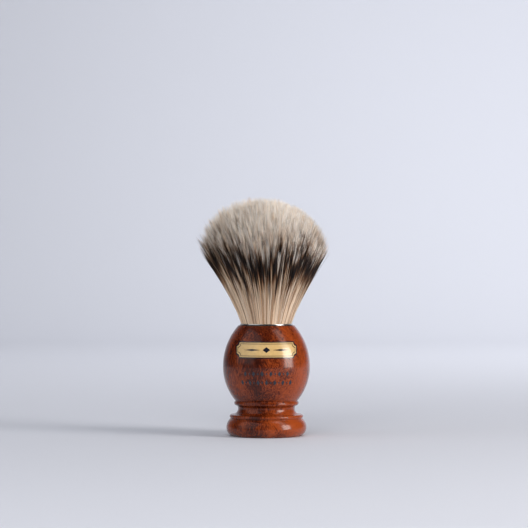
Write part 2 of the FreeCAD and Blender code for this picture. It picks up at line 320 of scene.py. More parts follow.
def lacquered_wood(look, fibres, lacquer):
    """Red-brown hardwood under clear gloss: fibres up the turning, a swirling figure on one side, and
    painted light and shade: lighter sides and a darker belly.
    """
    material, graph, shader = new_material("lacquered_wood")
    place = millimetres(graph)
    x, y, z = graph.split(place)
    # The right side: its figure swirls, and it carries painted light, lighter where the key lamp falls.
    swirl_and_lit_flank = graph.remap(graph.minus(x, graph.times(y, 0.35)), 2.0, 20.0, smooth=True)
    wander = graph.blend_number(swirl_and_lit_flank, 3.5, 11.0)
    along = graph.blend_number(swirl_and_lit_flank, 0.10, 0.13)
    across = graph.blend_number(swirl_and_lit_flank, 0.85, 0.60)
    straight = use_group(graph, fibres, {
        "Vector": place, "Across": across, "Along": along, "Wander": wander, "Seed": look.seed * 3.1,
    })
    broad = graph.noise(graph.vector("MULTIPLY", place, (0.11, 0.11, 0.05)), 1.0, detail=2.0)["Fac"]
    tone = graph.weigh((straight["Fine"], 0.62), (broad, 0.38))
    # Painted light: the right side of the wood made lighter.
    tone = graph.add(tone, graph.remap(swirl_and_lit_flank, 0.0, 1.0, -0.045, 0.085))
    # Painted light: the left side of the wood made lighter as well.
    tone = graph.add(tone, graph.remap(x, -8.0, -19.0, 0.0, 0.045, smooth=True))
    # Painted shade: a darker band round the belly of the bulb.
    from_belly = graph.math("ABSOLUTE", graph.minus(z, 35.0))
    tone = graph.add(tone, graph.remap(from_belly, 3.0, 10.0, -0.045, 0.0, smooth=True))
    tone = graph.add(tone, graph.remap(z, 13.0, 8.0, 0.0, 0.035, smooth=True))
    dark, middle, light = (tuple(colour) for colour in (look.dark_wood, look.wood, look.light_wood))
    colour = graph.ramp(tone, (
        (0.36, dark),
        (0.45, middle),
        (0.52, tuple((a + b) / 2 for a, b in zip(middle, light))),
        (0.64, light),
    ))
    pores = graph.remap(straight["Broad"], 0.60, 0.70, smooth=True)
    colour = graph.blend_colour(graph.times(pores, 0.15), colour, (*shade(dark, 0.6), 1.0))
    film = use_group(graph, lacquer, {"Vector": place, "Grain": straight["Fine"], "Grain share": 0.12})
    graph.feed(shader.inputs["Base Color"], colour)
    graph.feed(shader.inputs["Roughness"], graph.add(film["Roughness"], look.lacquer_roughness))
    shader.inputs["Specular IOR Level"].default_value = 0.26
    shader.inputs["Coat Weight"].default_value = 0.22
    shader.inputs["Coat Roughness"].default_value = 0.10
    open_grain = graph.remap(z, 11.5, 9.0, 0.0, 1.0, smooth=True)
    relief = graph.times(graph.times(straight["Fine"], open_grain), 0.5)
    set_bump(graph, shader, graph.add(film["Height"], relief), 0.10 * MM, 0.5)
    return material


def polished_ring(look):
    """Polished plate with faint lathe lines, wiped haze and painted shade: a dark band on its lower edge,
    where it meets the wood.
    """
    material, graph, shader = new_material("polished_ring")
    place = millimetres(graph)
    lines = graph.noise(graph.vector("MULTIPLY", place, (0.05, 0.05, 9.0)), 1.0, detail=2.0)["Fac"]
    haze = graph.noise(place, 0.5, detail=3.0)["Fac"]
    tint = graph.remap(haze, 0.3, 0.8, 0.82, 1.0)
    colour = graph.tint((*look.ring, 1.0), tint)
    top = RING_TOP / MM
    # Painted shade: the lower edge of the ring, next to the wood, turns nearly black.
    painted_joint_shade = graph.remap(graph.split(place)[2], top - 0.62, top - 0.36, 1.0, 0.0)
    colour = graph.blend_colour(painted_joint_shade, colour, (*shade(look.ring, 0.05), 1.0))
    graph.feed(shader.inputs["Base Color"], colour)
    shader.inputs["Metallic"].default_value = 1.0
    graph.feed(shader.inputs["Roughness"], graph.remap(haze, 0.3, 0.7, 0.13, 0.22))
    set_bump(graph, shader, lines, 0.02 * MM, 0.4)
    return material


def printed(name, colour, lacquer, speckle, fade):
    """Ink or foil printed on the wood under the same clear lacquer."""
    material, graph, shader = new_material(name)
    place = millimetres(graph)
    grain = graph.noise(graph.vector("MULTIPLY", place, (1.0, 1.0, 0.25)), 5.0, detail=3.0)["Fac"]
    worn = graph.noise(place, 0.9, detail=4.0)["Fac"]
    tone = graph.weigh((grain, speckle), (worn, fade))
    level = graph.remap(tone, 0.0, speckle + fade, 0.72, 1.28)
    shaded = graph.tint((*colour, 1.0), level)
    film = use_group(graph, lacquer, {"Vector": place, "Grain": grain, "Grain share": 0.05})
    graph.feed(shader.inputs["Base Color"], shaded)
    graph.feed(shader.inputs["Roughness"], graph.add(film["Roughness"], 0.22))
    shader.inputs["Coat Weight"].default_value = 0.5
    shader.inputs["Coat Roughness"].default_value = 0.06
    set_bump(graph, shader, film["Height"], 0.1 * MM, 0.3)
    return material


def three_band_hair(look):
    """Hair whose colour follows its own map: height is the place along the hair, the column is its tone."""
    material, graph, shader = new_material("three_band_hair")
    uv = graph.node("ShaderNodeUVMap", uv_map=BAKE_UV).outputs[0]
    across, up, _ = graph.split(uv)
    column = graph.math("FLOOR", graph.times(across, TONE_COLUMNS))
    tip_tone = graph.math("DIVIDE", graph.math("FLOOR", graph.math("DIVIDE", column, TONES)), TONES - 1)
    base_tone = graph.math("DIVIDE", graph.math("MODULO", column, TONES), TONES - 1)
    warmth = graph.node(
        "ShaderNodeTexWhiteNoise", {"W": graph.add(column, 0.5)}, noise_dimensions="1D"
    ).outputs["Value"]
    tip, band, brown, base = (tuple(colour) for colour in (look.tip, look.band, look.brown, look.base))
    colour = graph.ramp(up, (
        (0.02, tip),
        (TIP_EDGE - 0.045, shade(tip, 0.90)),
        (TIP_EDGE - 0.002, brown),
        (TIP_EDGE + 0.036, band),
        (TIP_EDGE + 0.155, shade(band, 0.85)),
        (TIP_EDGE + 0.215, brown),
        (TIP_EDGE + 0.265, shade(base, 0.82)),
        (0.75, base),
        (0.98, shade(base, 0.80)),
    ))
    tip_level = graph.ramp(tip_tone, (
        (0.10, (0.40, 0.27, 0.17)),
        (0.36, (0.84, 0.77, 0.68)),
        (0.60, (1.0, 1.0, 1.0)),
    ))
    base_level = graph.ramp(base_tone, (
        (0.08, (0.34, 0.20, 0.11)),
        (0.34, (0.68, 0.52, 0.38)),
        (0.60, (1.0, 1.0, 1.0)),
    ))
    level = graph.blend_colour(graph.remap(up, TIP_EDGE, TIP_EDGE + 0.2), tip_level, base_level)
    depth = graph.remap(up, 0.0, TIP_EDGE, 0.24, 0.78)
    colour = graph.blend_colour(depth, colour, level, "MULTIPLY")
    warm = graph.blend_colour(warmth, (0.92, 0.97, 1.04, 1.0), (1.10, 0.99, 0.86, 1.0))
    colour = graph.blend_colour(1.0, colour, warm, "MULTIPLY")
    graph.feed(shader.inputs["Base Color"], colour)
    shader.inputs["Roughness"].default_value = 0.42
    shader.inputs["Specular IOR Level"].default_value = 0.35
    return material


def hair_bundle(look):
    """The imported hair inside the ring, seen as one ribbed bundle."""
    material, graph, shader = new_material("packed_hair")
    place = millimetres(graph)
    strands = graph.noise(graph.vector("MULTIPLY", place, (1.0, 1.0, 0.04)), 6.0, detail=3.0)["Fac"]
    colour = graph.ramp(strands, (
        (0.3, shade(look.base, 0.35)),
        (0.5, shade(look.base, 0.8)),
        (0.7, tuple(look.base)),
    ))
    graph.feed(shader.inputs["Base Color"], colour)
    graph.feed(shader.inputs["Roughness"], graph.remap(strands, 0.3, 0.7, 0.65, 0.45))
    set_bump(graph, shader, strands, 0.08 * MM)
    return material


def waxed_thread(look):
    material, graph, shader = new_material("waxed_thread")
    place = millimetres(graph)
    fluff = graph.noise(place, 7.0, detail=4.0, roughness=0.7)["Fac"]
    colour = graph.ramp(fluff, (
        (0.3, shade(look.thread, 0.6)),
        (0.55, tuple(look.thread)),
        (0.75, shade(look.thread, 1.15)),
    ))
    graph.feed(shader.inputs["Base Color"], colour)
    graph.feed(shader.inputs["Roughness"], graph.remap(fluff, 0.3, 0.7, 0.38, 0.6))
    shader.inputs["Sheen Weight"].default_value = 0.15
    set_bump(graph, shader, fluff, 0.05 * MM)
    return material


def cast_resin(look):
    """Amber resin with the cut ends of the hairs showing as specks."""
    material, graph, shader = new_material("cast_resin")
    place = millimetres(graph)
    flow = graph.noise(place, 0.35, detail=3.0)["Fac"]
    ends = graph.node(
        "ShaderNodeTexVoronoi", {"Vector": graph.vector("MULTIPLY", place, (1.0, 1.0, 0.02)), "Scale": 3.2}
    ).outputs["Distance"]
    colour = graph.ramp(flow, (
        (0.3, shade(look.resin, 0.6)),
        (0.6, tuple(look.resin)),
        (0.8, shade(look.resin, 1.3)),
    ))
    speck = graph.remap(ends, 0.16, 0.24, 1.0, 0.0)
    colour = graph.blend_colour(graph.times(speck, 0.7), colour, (*shade(look.base, 0.6), 1.0))
    graph.feed(shader.inputs["Base Color"], colour)
    graph.feed(shader.inputs["Roughness"], graph.remap(flow, 0.3, 0.8, 0.12, 0.3))
    set_bump(graph, shader, flow, 0.1 * MM, 0.5)
    return material


def cured_adhesive(look):
    """Cream epoxy with trapped air bubbles, their pits darkened by painted shade."""
    material, graph, shader = new_material("cured_adhesive")
    place = millimetres(graph)
    bubbles = graph.node("ShaderNodeTexVoronoi", {"Vector": place, "Scale": 1.7}).outputs["Distance"]
    bubble_pit_and_shade = graph.remap(bubbles, 0.10, 0.20, smooth=True)
    cloud = graph.noise(place, 0.6, detail=3.0)["Fac"]
    level = graph.remap(cloud, 0.3, 0.7, 0.85, 1.05)
    colour = graph.tint((*look.adhesive, 1.0), level)
    # Painted shade: the bubble pits are darker.
    colour = graph.blend_colour(bubble_pit_and_shade, (*shade(look.adhesive, 0.6), 1.0), colour)
    graph.feed(shader.inputs["Base Color"], colour)
    graph.feed(shader.inputs["Roughness"], graph.remap(bubble_pit_and_shade, 0.0, 1.0, 0.25, 0.5))
    set_bump(graph, shader, bubble_pit_and_shade, 0.1 * MM, 0.6)
    return material


def studio_paper(colour):
    """Seamless pale paper with the faintest fibre, darkened by painted shade towards the camera."""
    material, graph, shader = new_material("studio_paper")
    place = graph.node("ShaderNodeTexCoord").outputs["Object"]
    fibre = graph.noise(place, 900.0, detail=2.0)["Fac"]
    level = graph.remap(fibre, 0.3, 0.7, 0.992, 1.008)
    # Painted shade: the paper darkens from in front of the brush towards the camera.
    painted_front_shade = graph.remap(graph.split(place)[1], -1.0, -0.40, 0.10, 1.0, smooth=True)
    level = graph.times(level, painted_front_shade)
    tinted = graph.tint((*colour, 1.0), level)
    graph.feed(shader.inputs["Base Color"], tinted)
    shader.inputs["Roughness"].default_value = 0.85
    shader.inputs["Specular IOR Level"].default_value = 0.15
    return material


# ---------------------------------------------------------------- geometry node trees

def finish_tree(graph, given, result, solid):
    """Smooths the solid, makes it real, gives it its material and hands it out."""
    for kind in ("GeometryNodeSetShadeSmooth", "GeometryNodeRealizeInstances"):
        solid = graph.node(kind, {0: solid}).outputs[0]
    solid = graph.node("GeometryNodeSetMaterial", {0: solid, "Material": given["Material"]}).outputs[0]
    graph.feed(result.inputs[0], solid)
    return graph.tree


def circle(graph, corners, radius):
    shape = {"Resolution": corners, "Radius": radius}
    return graph.node("GeometryNodeCurvePrimitiveCircle", shape).outputs[0]


def hair_tree():
    """Hairs that leave a disc, fan out and end on a dome, gathered into fine clumps."""
    graph, given, result = new_group("Knot of hair", "GeometryNodeTree", (
        ("Hairs", "int", 1000),
        ("Seed", "int", 1),
        ("First angle", "float", 0.0),
        ("Angle width", "float", 1.0),
        ("Root radius", "float", 0.01),
        ("Root height", "float", 0.05),
        ("Spread radius", "float", 0.03),
        ("Crown centre", "float", 0.077),
        ("Crown radius", "float", 0.032),
        ("Hair radius", "float", 0.00006),
        ("Clumps across", "float", 30.0),
        ("Clumping", "float", 0.5),
        ("Length scatter", "float", 0.05),
        ("Bend", "float", 0.001),
        ("Flyaway share", "float", 0.01),
        ("Flyaway lean", "float", 0.22),
        ("Lean", "vector", None),
        ("Outer tip", "float", 0.006),
        ("Inner tip", "float", 0.014),
        ("Pigment scatter", "float", 0.003),
        ("Front tip", "float", 0.0),
        ("Material", "material", None),
    ), (("Geometry", "geometry"),))
    index = graph.node("GeometryNodeInputIndex").outputs[0]

    def chance(offset, low=0.0, high=1.0):
        seed = graph.add(given["Seed"], float(offset))
        made = graph.node("FunctionNodeRandomValue", data_type="FLOAT")
        for socket, value in zip((2, 3), (low, high)):
            made.inputs[socket].default_value = value
        graph.feed(made.inputs["ID"], index)
        graph.feed(made.inputs["Seed"], seed)
        return made.outputs[1]

    def remember(geometry, name, value, kind="FLOAT", domain="POINT"):
        made = graph.node("GeometryNodeStoreNamedAttribute", data_type=kind, domain=domain)
        made.inputs["Name"].default_value = name
        graph.feed(made.inputs["Geometry"], geometry)
        graph.feed(made.inputs["Value"], value)
        return made.outputs[0]

    def recall(name, kind="FLOAT"):
        made = graph.node("GeometryNodeInputNamedAttribute", data_type=kind)
        made.inputs["Name"].default_value = name
        return made.outputs["Attribute"]

    # Roots: even over the disc
    reach = graph.math("SQRT", chance(1))
    angle = graph.add(given["First angle"], graph.times(chance(2), given["Angle width"]))
    root = graph.xyz(
        graph.times(reach, graph.math("COSINE", angle)),
        graph.times(reach, graph.math("SINE", angle)),
        0.0,
    )
    clump = graph.node("ShaderNodeTexVoronoi", {
        "Vector": root, "Scale": given["Clumps across"], "Randomness": 1.0,
    }, voronoi_dimensions="2D").outputs
    clump_random = graph.split(clump["Color"])
    wisp = graph.node("ShaderNodeTexVoronoi", {
        "Vector": root, "Scale": graph.times(given["Clumps across"], WISPS_PER_CLUMP), "Randomness": 1.0,
    }, voronoi_dimensions="2D").outputs
    points = graph.node("GeometryNodePoints", {"Count": given["Hairs"]}).outputs[0]
    points = remember(points, "root", root, "FLOAT_VECTOR")
    points = remember(points, "gather", clump["Position"], "FLOAT_VECTOR")
    points = remember(points, "wisp", wisp["Position"], "FLOAT_VECTOR")
    points = remember(points, "wisp_luck", wisp["Color"], "FLOAT_VECTOR")
    points = remember(points, "clump_luck", graph.xyz(*clump_random), "FLOAT_VECTOR")
    points = remember(points, "luck", graph.xyz(chance(3), chance(4), chance(5)), "FLOAT_VECTOR")
    points = remember(points, "fate", graph.xyz(chance(6), chance(7), chance(8)), "FLOAT_VECTOR")

    strand = graph.node("GeometryNodeCurvePrimitiveLine", {"End": (0.0, 0.0, 1.0)}).outputs[0]
    strand = graph.node("GeometryNodeResampleCurve", {"Curve": strand, "Count": HAIR_STEPS}).outputs[0]
    hairs = graph.node("GeometryNodeInstanceOnPoints", {"Points": points, "Instance": strand}).outputs[0]
    hairs = graph.node("GeometryNodeRealizeInstances", {0: hairs}).outputs[0]

    factor = graph.node("GeometryNodeSplineParameter").outputs["Factor"]
    luck = graph.split(recall("luck", "FLOAT_VECTOR"))
    fate = graph.split(recall("fate", "FLOAT_VECTOR"))
    clump_luck = graph.split(recall("clump_luck", "FLOAT_VECTOR"))
    roots = recall("root", "FLOAT_VECTOR")
    gather = recall("gather", "FLOAT_VECTOR")
    wisp_centre = recall("wisp", "FLOAT_VECTOR")
    wisp_luck = graph.split(recall("wisp_luck", "FLOAT_VECTOR"))

    # How far each hair goes: a little short of the dome, each clump with its own length
    short = graph.times(graph.power(luck[0], 1.6), given["Length scatter"])
    shortness = graph.weigh((clump_luck[0], 0.2), (wisp_luck[0], 0.6))
    clump_short = graph.times(shortness, given["Length scatter"])
    edge = graph.power(graph.math("MINIMUM", graph.vector("LENGTH", wisp_centre), 1.0), 9.0)
    rounding = graph.add(0.06, graph.times(graph.power(wisp_luck[2], 1.5), 0.14))
    edge_short = graph.times(edge, rounding)
    full = graph.minus(graph.minus(1.0, edge_short), graph.add(short, clump_short))
    travel = graph.times(factor, full)

    # Gathering into clumps, stronger towards the tip
    pull = graph.power(travel, 0.8)
    bold = graph.remap(fate[0], 0.86, 0.96, smooth=True)
    grip = graph.times(given["Clumping"], graph.remap(luck[1], 0.0, 1.0, 0.7, 1.15))
    grip = graph.times(grip, graph.minus(1.0, graph.times(bold, 0.6)))
    pull = graph.math("MULTIPLY", pull, grip, clamp=True)
    spot = graph.blend_vector(graph.times(pull, 0.88), roots, wisp_centre)
    spot = graph.blend_vector(graph.times(pull, 0.10), spot, gather)
    reach = graph.math("MINIMUM", graph.vector("LENGTH", spot), 1.0)
    direction = graph.vector("NORMALIZE", spot)

    # Path: straight near the root, bowing outward, ending on the dome
    flyaway = graph.math("LESS_THAN", fate[0], given["Flyaway share"])
    lean = graph.times(graph.times(flyaway, given["Flyaway lean"]), fate[1])
    spread = graph.times(given["Spread radius"], reach)
    dome = graph.power(given["Crown radius"], 2.0)
    rise = graph.math("SQRT", graph.minus(dome, graph.power(spread, 2.0)))
    top = graph.add(given["Crown centre"], rise)
    start = graph.times(given["Root radius"], reach)
    fan = graph.add(graph.power(travel, 1.18), graph.times(lean, graph.power(travel, 3.0)))
    radius = graph.add(start, graph.times(graph.minus(spread, start), fan))
    height_gain = graph.minus(top, given["Root height"])
    height = graph.add(given["Root height"], graph.times(height_gain, travel))
    straight = graph.shift(graph.scale(direction, radius), graph.xyz(0.0, 0.0, height))

    # Small bends: each clump leans its own way, each hair a little more
    def sway(seed_x, seed_y):
        return graph.xyz(graph.minus(seed_x, 0.5), graph.minus(seed_y, 0.5), 0.0)

    curl = graph.times(given["Bend"], graph.power(travel, 2.0))
    sideways = graph.scale(sway(clump_luck[1], clump_luck[2]), 0.6)
    sideways = graph.shift(sideways, graph.scale(sway(wisp_luck[0], wisp_luck[1]), 1.4))
    sideways = graph.shift(sideways, graph.scale(sway(luck[2], fate[2]), 0.5))
    along = graph.xyz(0.0, 0.0, graph.times(travel, 2.2))
    waver = graph.noise(graph.shift(graph.scale(roots, 40.0), along), 1.0, detail=1.0)["Color"]
    waver = graph.vector("SUBTRACT", waver, (0.5, 0.5, 0.5))
    offset = graph.shift(graph.scale(sideways, curl), graph.scale(waver, graph.times(curl, 0.6)))
    leaning = graph.scale(given["Lean"], graph.power(travel, 3.0))
    place = graph.shift(graph.shift(straight, offset), leaning)
    hairs = graph.node("GeometryNodeSetPosition", {"Geometry": hairs, "Position": place}).outputs[0]

    # Thin at the root, thickest past the middle, drawn to a point
    body = graph.add(0.6, graph.times(factor, 0.45))
    taper = graph.minus(1.0, graph.times(graph.power(factor, 5.0), 0.9))
    thickness = graph.times(given["Hair radius"], graph.times(body, taper))
    thickness = graph.times(thickness, graph.add(graph.times(bold, 1.2), 0.9))
    hairs = remember(hairs, "thickness", thickness)

    # Pigment: how far this point is from the tip, less the length of the pale tip
    sideways_gain = graph.power(graph.minus(spread, start), 2.0)
    length = graph.math("SQRT", graph.add(graph.power(height_gain, 2.0), sideways_gain))
    from_tip = graph.times(length, graph.minus(full, travel))
    pale = graph.blend_number(graph.power(reach, 3.0), given["Inner tip"], given["Outer tip"])
    drift = graph.weigh(
        (graph.minus(clump_luck[1], 0.5), 0.6),
        (graph.minus(wisp_luck[1], 0.5), 0.85),
        (graph.minus(luck[1], 0.5), 0.5),
    )
    loose = graph.times(graph.minus(luck[2], 0.5), graph.times(bold, 1.6))
    drift = graph.add(drift, loose)
    mixed = graph.weigh((wisp_luck[0], 7.3), (wisp_luck[2], 5.9))
    streak = graph.remap(graph.math("FRACT", mixed), 0.20, 0.0, 0.0, 1.0)
    drift = graph.minus(drift, graph.times(streak, 1.2))
    pale = graph.add(pale, graph.times(drift, graph.times(given["Pigment scatter"], 2.0)))
    forward = graph.power(graph.math("ABSOLUTE", graph.split(direction)[1]), 6.0)
    pale = graph.add(pale, graph.times(forward, given["Front tip"]))
    pigment = graph.math("DIVIDE", graph.minus(from_tip, pale), PIGMENT_SPAN)
    pigment = graph.add(TIP_EDGE, pigment)
    pigment = graph.math("MINIMUM", graph.math("MAXIMUM", pigment, 0.01), 0.99)
    unbanded = graph.math("GREATER_THAN", graph.math("FRACT", mixed), 0.955)
    pigment = graph.blend_number(unbanded, pigment, 0.62)

    def tone_level(shared, own, own_share):
        blended = graph.blend_number(graph.blend_number(bold, own_share, 1.0), shared, own)
        stretched = graph.remap(blended, 0.12, 0.88, 0.0, TONES - 0.01)
        return graph.math("FLOOR", stretched)

    tip_tone = tone_level(wisp_luck[2], fate[2], 0.24)
    base_tone = tone_level(clump_luck[2], luck[2], 0.30)
    column = graph.add(graph.times(tip_tone, float(TONES)), base_tone)
    hairs = remember(hairs, "pigment", pigment)
    hairs = remember(hairs, "column", column)

    section = circle(graph, HAIR_SIDES, 1.0)
    around = graph.node("GeometryNodeSplineParameter").outputs["Factor"]
    section = remember(section, "around", around)
    solid = graph.node("GeometryNodeCurveToMesh", {
        "Curve": hairs, "Profile Curve": section, "Scale": recall("thickness"), "Fill Caps": True,
    }).outputs[0]
    in_column = graph.add(0.2, graph.times(recall("around"), 0.8))
    u = graph.math("DIVIDE", graph.add(recall("column"), in_column), float(TONE_COLUMNS))
    solid = remember(solid, BAKE_UV, graph.xyz(u, recall("pigment"), 0.0), "FLOAT2", "CORNER")
    for name in (
        "root", "gather", "clump_luck", "luck", "fate", "pigment", "column", "around", "thickness",
        "wisp", "wisp_luck",
    ):
        solid = graph.node("GeometryNodeRemoveAttribute", {"Geometry": solid, "Name": name}).outputs[0]
    return finish_tree(graph, given, result, solid)


def thread_tree():
    """Three plies twisted together and wound round the hair."""
    graph, given, result = new_group("Wound thread", "GeometryNodeTree", (
        ("Turns", "float", 4.0),
        ("Winding radius", "float", 0.01),
        ("Bottom", "float", 0.04),
        ("Height", "float", 0.003),
        ("Ply radius", "float", 0.0002),
        ("Twists", "float", 60.0),
        ("Material", "material", None),
    ), (("Geometry", "geometry"),))
    spiral = graph.node("GeometryNodeCurveSpiral", {
        "Resolution": THREAD_STEPS, "Rotations": given["Turns"], "Start Radius": given["Winding radius"],
        "End Radius": given["Winding radius"], "Height": given["Height"],
    }).outputs[0]
    section = circle(graph, PLY_SIDES, given["Ply radius"])
    factor = graph.node("GeometryNodeSplineParameter").outputs["Factor"]
    tangent = graph.node("GeometryNodeInputTangent").outputs[0]
    position = graph.node("GeometryNodeInputPosition").outputs[0]
    outward = graph.vector("NORMALIZE", graph.vector("MULTIPLY", position, (1.0, 1.0, 0.0)))
    sideways = graph.vector("CROSS_PRODUCT", tangent, outward)
    join = graph.node("GeometryNodeJoinGeometry")
    for ply in range(3):
        angle = graph.add(graph.times(factor, graph.times(given["Twists"], math.tau)), math.tau * ply / 3)
        out_step = graph.scale(outward, graph.math("COSINE", angle))
        step = graph.shift(out_step, graph.scale(sideways, graph.math("SINE", angle)))
        offset = graph.shift(graph.scale(step, given["Ply radius"]), graph.xyz(0.0, 0.0, given["Bottom"]))
        curve = graph.node("GeometryNodeSetPosition", {"Geometry": spiral, "Offset": offset}).outputs[0]
        parts = {"Curve": curve, "Profile Curve": section, "Fill Caps": True}
        tube = graph.node("GeometryNodeCurveToMesh", parts).outputs[0]
        graph.tree.links.new(tube, join.inputs[0])
    return finish_tree(graph, given, result, join.outputs[0])


# ---------------------------------------------------------------- pieces

def add_piece(name, mesh, slot, *nodes):
    """A finished piece that rides with the brush and stands for the named CAD nodes."""
    piece = bpy.data.objects.new(name, mesh)
    bpy.context.scene.collection.objects.link(piece)
    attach(piece, BODY)
    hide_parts(*nodes)
    return piece


def finish_node(name, material):
    """Gives a CAD node its finish."""
    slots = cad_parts[name].material_slots
    for slot in slots:
        slot.material = material


def lathe(name, profile, segments, ripple=None):
    """A closed turned mesh from (radius, height) points; the first and last lie on the axis."""
    rings = profile[1:-1]
    points = [Vector((0.0, 0.0, profile[0][1]))]
    for radius, height in rings:
        for step in range(segments):
            angle = math.tau * step / segments
            local = radius * (ripple(angle) if ripple else 1.0)
            points.append(Vector((local * math.cos(angle), local * math.sin(angle), height)))
    points.append(Vector((0.0, 0.0, profile[-1][1])))
    last = len(points) - 1
    faces = []
    for step in range(segments):
        following = (step + 1) % segments
        faces.append((0, 1 + following, 1 + step))
        for ring in range(len(rings) - 1):
            low = 1 + ring * segments
            high = low + segments
            faces.append((low + step, low + following, high + following, high + step))
        top = 1 + (len(rings) - 1) * segments
        faces.append((last, top + step, top + following))
    mesh = bpy.data.meshes.new(name)
    mesh.from_pydata(points, [], faces)
    mesh.shade_smooth()
    return mesh


class WoodLook(bpy.types.PropertyGroup):
    dark_wood: Colour(
        name="Dark wood", description="Darkest colour of the figure",
        default=(0.029, 0.0037, 0.0007),
    )
    wood: Colour(name="Wood", description="Main colour of the wood", default=(0.070, 0.0088, 0.0016))
    light_wood: Colour(
        name="Light wood", description="Lightest colour of the figure",
        default=(0.30, 0.052, 0.0090),
    )
    lacquer_roughness: FloatProperty(
        name="Lacquer roughness", description="How blurred reflections in the lacquer are",
        default=0.18, min=0.0, max=1.0,
    )
    seed: IntProperty(name="Figure", description="Chooses another piece of wood", default=4, min=0)


class FittingLook(bpy.types.PropertyGroup):
    ring: Colour(name="Ring", description="Colour of the metal ring", default=(0.90, 0.885, 0.86))
    foil: Colour(name="Foil", description="Colour of the printed label", default=(0.56, 0.37, 0.15))
    ink: Colour(name="Ink", description="Colour of the dark print", default=(0.008, 0.008, 0.016))
    thread: Colour(name="Thread", description="Colour of the waxed thread", default=(0.62, 0.54, 0.38))
    thread_laps: IntProperty(
        name="Thread laps", description="Laps of thread counted up the band",
        default=5, min=2, max=20,
    )
    resin: Colour(name="Resin", description="Colour of the cast plug", default=(0.34, 0.15, 0.035))
    adhesive: Colour(
        name="Adhesive", description="Colour of the cured adhesive",
        default=(0.62, 0.55, 0.37),
    )
    base: Colour(
        name="Hair ends", description="Colour of the hair inside the ring",
        default=(0.55, 0.43, 0.30),
    )


class HairLook(bpy.types.PropertyGroup):
    hairs: IntProperty(
        name="Hairs in each lock", description="Number of hairs in each lock",
        default=5900, min=10,
    )
    hair_radius: Length(
        name="Hair radius", description="Radius that a hair's taper and boldness then scale",
        default=0.10 * MM,
    )
    clumps: FloatProperty(
        name="Clumps across", description="Clumps counted from the middle of the knot to its edge",
        default=13.0, min=1.0,
    )
    clumping: FloatProperty(
        name="Clumping", description="How tightly the tips of a clump come together",
        default=0.92, min=0.0, max=1.0,
    )
    scatter: FloatProperty(
        name="Length scatter", description="How much shorter than the crown a hair may be",
        default=0.062, min=0.0, max=0.5,
    )
    bend: Length(name="Bend", description="How far a tip may lean from its path", default=2.4 * MM)
    flyaways: FloatProperty(
        name="Flyaway hairs", description="Share of hairs that leave the fan",
        default=0.03, min=0.0, max=1.0,
    )
    crown_extra: Length(
        name="Crown above block", description="How far the longest tips pass the plain block",
        default=1.2 * MM,
    )
    lean: FloatVectorProperty(
        name="Lean", description="Which way use has set the tips leaning",
        default=(-1.7 * MM, 0.0, 0.0), unit="LENGTH",
    )
    outer_tip: Length(
        name="Outer pale tip", description="Length of the pale tip on the outside",
        default=3.6 * MM,
    )
    front_tip: Length(
        name="Front pale tip", description="How much longer the pale tip is at the front and back",
        default=1.5 * MM,
    )
    inner_tip: Length(
        name="Inner pale tip", description="Length of the pale tip in the middle",
        default=15 * MM,
    )
    pigment_scatter: Length(
        name="Band scatter", description="How ragged the edges of the dark band are",
        default=3.3 * MM,
    )
    tip: Colour(name="Tips", description="Colour of the pale tips", default=(1.0, 0.97, 0.93))
    band: Colour(name="Band", description="Colour of the dark band", default=(0.020, 0.013, 0.011))
    brown: Colour(
        name="Brown", description="Colour where the dark band fades out",
        default=(0.27, 0.145, 0.075),
    )
    base: Colour(name="Base", description="Colour of the hair near the ring", default=(0.95, 0.80, 0.64))


class StageLook(bpy.types.PropertyGroup):
    paper: Colour(
        name="Paper", description="Colour of the seamless floor and backdrop",
        default=(0.66, 0.677, 0.748),
    )
    eye_height: Length(name="Eye height", description="Height of the level camera", default=79 * MM)
    distance: Length(name="Distance", description="From the camera to the brush", default=1.03)
    view_width: Length(name="View width", description="Width of the view at the brush", default=243 * MM)
    key_power: FloatProperty(
        name="Key light", description="Power of the tall light at the right",
        default=6.3, min=0.0,
    )
    high_power: FloatProperty(
        name="High light", description="Power of the light above the key",
        default=2.1, min=0.0,
    )
    side_power: FloatProperty(
        name="Side light", description="Power of the broad light at the left",
        default=3.7, min=0.0,
    )
    fill_power: FloatProperty(
        name="Overhead light", description="Power of the broad light overhead",
        default=9.2, min=0.0,
    )
    front_power: FloatProperty(
        name="Front light", description="Power of the soft light by the camera",
        default=12.2, min=0.0,
    )
    wash_power: FloatProperty(
        name="Backdrop light", description="Power of the light on the backdrop",
        default=12.4, min=0.0,
    )


def look_of(context, name):
    return getattr(context.scene, "brush_" + name)


class BRUSH_OT_handle(bpy.types.Operator):
    """Finishes the turned handle in lacquered, figured wood"""

    bl_idname = "shaving_brush.handle"
    bl_label = "Finish the handle"

    def execute(self, context):
        fibres = shared_group(FIBRES, fibre_group)
        lacquer = shared_group(LACQUER, lacquer_group)
        finish_node("handle", lacquered_wood(look_of(context, "wood"), fibres, lacquer))
        return {"FINISHED"}


class BRUSH_OT_ring(bpy.types.Operator):
    """Finishes the metal ring"""

    bl_idname = "shaving_brush.ring"
    bl_label = "Finish the ring"

    def execute(self, context):
        finish_node("ferrule", polished_ring(look_of(context, "fittings")))
        return {"FINISHED"}


class BRUSH_OT_label(bpy.types.Operator):
    """Finishes the printed label and the ornament below it"""

    bl_idname = "shaving_brush.label"
    bl_label = "Finish the label"

    def execute(self, context):
        look = look_of(context, "fittings")
        lacquer = shared_group(LACQUER, lacquer_group)
        finish_node("label_foil", printed("gold_foil", tuple(look.foil), lacquer, 0.4, 0.6))
        ink = printed("printing_ink", tuple(look.ink), lacquer, 0.7, 0.3)
        finish_node("label_ink", ink)
        finish_node("label_ornament", ink)
        return {"FINISHED"}


